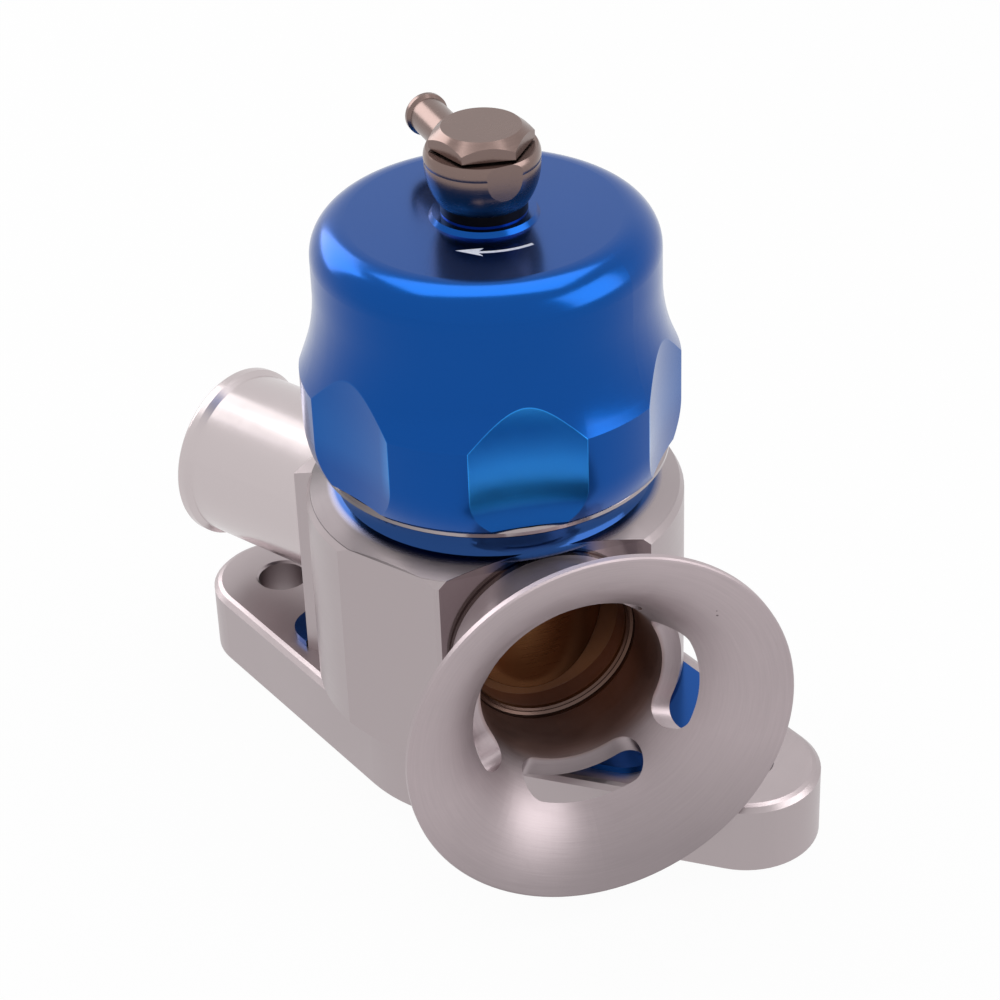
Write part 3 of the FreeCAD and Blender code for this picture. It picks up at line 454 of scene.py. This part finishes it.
# Trumpet: a flared horn turned from aluminium and screwed into the body's angled flat. The flare
# is left satin, with the tool's rings round it and two small pits, and four slots are milled
# through its throat. The throat wall carries a painted reflection of the bronze piston, the step
# in its bore carries painted shade and is a little shinier, and the lower part is painted darker
# as painted shade.
step_near, step_far = 0.0240, 0.0262
throat_end, flare_start = 0.0340, 0.0440
throat_wall, throat_wall_end = 0.0146, 0.0154
pits = (((0.05037, -0.01299, 0.04929), 0.00022), ((0.05049, -0.01333, 0.05035), 0.00014))


def horn_zones(tree, place, colour):
    parts, _, radius = about_axis(tree, place)
    along = parts[2]
    # Painted reflection: the throat wall is tinted bronze-brown like the piston.
    warm = maths(tree, "MULTIPLY", ramp(tree, along, throat_end, flare_start, 0.75, 0.0),
                 ramp(tree, radius, throat_wall, throat_wall_end, 1.0, 0.0))
    colour = tinted(tree, warm, colour, linear(118, 74, 50))
    # Painted shade on the step in the bore, which is also made a little shinier.
    step_shade_and_shine = maths(tree, "MULTIPLY", maths(tree, "LESS_THAN", along, step_far),
                    maths(tree, "GREATER_THAN", along, step_near))
    colour = tinted(tree, maths(tree, "MULTIPLY", step_shade_and_shine, 0.8), colour, linear(70, 52, 42))

    here = node(tree, "ShaderNodeTexCoord").outputs["Object"]
    height = node(tree, "ShaderNodeSeparateXYZ", Vector=here).outputs[2]
    # Painted shade: the lower part of the trumpet is tinted darker.
    colour = tinted(tree, ramp(tree, height, 0.026, 0.008, 0.0, 0.5), colour,
                    linear(110, 103, 105))
    for pit, size in pits:
        away = vectors(tree, "DISTANCE", here, pit)
        colour = tinted(tree, ramp(tree, away, size * 0.7, size, 0.75, 0.0), colour,
                        linear(52, 44, 44))
    return maths(tree, "MULTIPLY", step_shade_and_shine, 0.5), colour


trumpet_metal = worked_metal("satin_trumpet", linear(176, 163, 166), 0.38,
                             marks_per_metre=3000, depth=1.5e-5, tone=0.2, zones=horn_zones,
                             turn=(0, math.radians(90), trumpet_yaw),
                             centre=(0, 0, port_height), anisotropy=0.75)
dressed(nodes["trumpet"], trumpet_metal)

# Banjo fitting: nickel plated brass, dulled to a warm grey. The hollow bolt holds the ring on
# the cap's boss between two washers, coloured near black.
nickel = worked_metal("dulled_nickel", linear(126, 107, 102), 0.25, marks_per_metre=3000,
                      depth=3e-6, tone=0.08)
for name in ("banjo_ring", "hose_nipple", "banjo_bolt"):
    dressed(nodes[name], nickel)
copper = worked_metal("near_black_copper", linear(30, 27, 27), 0.4)
dressed(nodes["sealing_washers"], copper)

# Floor, backdrop and lamps: a pale floor under a white surround, which the camera and the metal
# both see as white, and three soft lamps, one overhead and one on each side.
floor_height = -0.0003
floor_half_width = 3.0
floor_whiteness = 0.96


def seen_white(tree):
    rays = node(tree, "ShaderNodeLightPath").outputs
    mirrored = maths(tree, "ADD", rays["Is Glossy Ray"], rays["Is Transmission Ray"])
    return maths(tree, "MINIMUM", maths(tree, "ADD", rays["Is Camera Ray"], mirrored), 1.0)


def floor_paint():
    material = bpy.data.materials.new("white_sweep")
    material.use_nodes = True
    tree = material.node_tree
    shader = tree.nodes["Principled BSDF"]
    shader.inputs["Roughness"].default_value = 0.7
    place = node(tree, "ShaderNodeTexCoord").outputs["Object"]
    grain = node(tree, "ShaderNodeTexNoise", Vector=place, Scale=14.0, Detail=3.0).outputs[0]
    pale = tinted(tree, grain, (0.70, 0.70, 0.70, 1), (0.74, 0.74, 0.74, 1))
    tree.links.new(pale, shader.inputs["Base Color"])
    glow = node(tree, "ShaderNodeEmission", Color=(1, 1, 1, 1), Strength=1.0)
    mix = node(tree, "ShaderNodeMixShader",
               i0=maths(tree, "MULTIPLY", seen_white(tree), floor_whiteness),
               i1=shader.outputs[0], i2=glow.outputs[0])
    tree.links.new(mix.outputs[0], tree.nodes["Material Output"].inputs["Surface"])
    return material


floor_mesh = bpy.data.meshes.new("floor")
floor_mesh.from_pydata([(x * floor_half_width, y * floor_half_width, floor_height)
                        for x, y in ((-1, -1), (1, -1), (1, 1), (-1, 1))], [], [(0, 1, 2, 3)])
floor_mesh.materials.append(floor_paint())
floor = bpy.data.objects.new("floor", floor_mesh)
bpy.context.scene.collection.objects.link(floor)

world = bpy.data.worlds.new("studio")
bpy.context.scene.world = world
world.use_nodes = True
sky = world.node_tree
around = sky.nodes["Background"]
around.inputs["Color"].default_value = (0.97, 0.97, 1.0, 1)
around.inputs["Strength"].default_value = 0.35
white = node(sky, "ShaderNodeBackground", Color=(1, 1, 1, 1), Strength=1.0)
backdrop = node(sky, "ShaderNodeMixShader",
                i0=seen_white(sky), i1=around.outputs[0], i2=white.outputs[0])
sky.links.new(backdrop.outputs[0], sky.nodes["World Output"].inputs["Surface"])


def softbox(name, azimuth, elevation, distance, width, height, power):
    lamp = bpy.data.lights.new(name, "AREA")
    lamp.shape = "RECTANGLE"
    lamp.size = width
    lamp.size_y = height
    lamp.energy = power
    turn, lift = math.radians(azimuth), math.radians(elevation)
    aim = Vector((0, 0, 0.05))
    place = aim + distance * Vector((math.cos(lift) * math.cos(turn),
                                     math.cos(lift) * math.sin(turn), math.sin(lift)))
    facing = (aim - place).to_track_quat("-Z", "Y").to_matrix().to_4x4()
    holder = bpy.data.objects.new(name, lamp)
    holder.matrix_world = Matrix.Translation(place) @ facing
    bpy.context.scene.collection.objects.link(holder)


softbox("overhead", azimuth=130, elevation=80, distance=0.8, width=0.9, height=0.55, power=3.9)
softbox("left", azimuth=175, elevation=28, distance=0.8, width=0.5, height=0.5, power=2.3)
softbox("right", azimuth=20, elevation=25, distance=0.7, width=0.5, height=0.5, power=1.8)

# Camera: a long lens in front of the trumpet and above it, with the spout behind on the left.
# Its turn, drop and roll are those that bring the valve's circles onto the photograph's.
sight_turn = math.radians(-37.1466)
sight_drop = math.radians(32.7353)
sight_roll = math.radians(-2.16605)
stand = Vector((0.231896, -0.304915, 0.291166))
right = Vector((math.cos(sight_turn), -math.sin(sight_turn), 0))
ahead = Vector((math.sin(sight_turn), math.cos(sight_turn), 0))
up = ahead * math.sin(sight_drop) + Vector((0, 0, math.cos(sight_drop)))
back = -ahead * math.cos(sight_drop) + Vector((0, 0, math.sin(sight_drop)))
turned_right = right * math.cos(sight_roll) + up * math.sin(sight_roll)
turned_up = up * math.cos(sight_roll) - right * math.sin(sight_roll)
eye = bpy.data.cameras.new("camera")
eye.sensor_width = 36
eye.lens = 101.532
eye.clip_start = 0.01
camera = bpy.data.objects.new("camera", eye)
camera.matrix_world = Matrix((
    (turned_right.x, turned_up.x, back.x, stand.x),
    (turned_right.y, turned_up.y, back.y, stand.y),
    (turned_right.z, turned_up.z, back.z, stand.z),
    (0, 0, 0, 1)))
bpy.context.scene.collection.objects.link(camera)
bpy.context.scene.camera = camera
bpy.context.scene.view_settings.view_transform = "Standard"
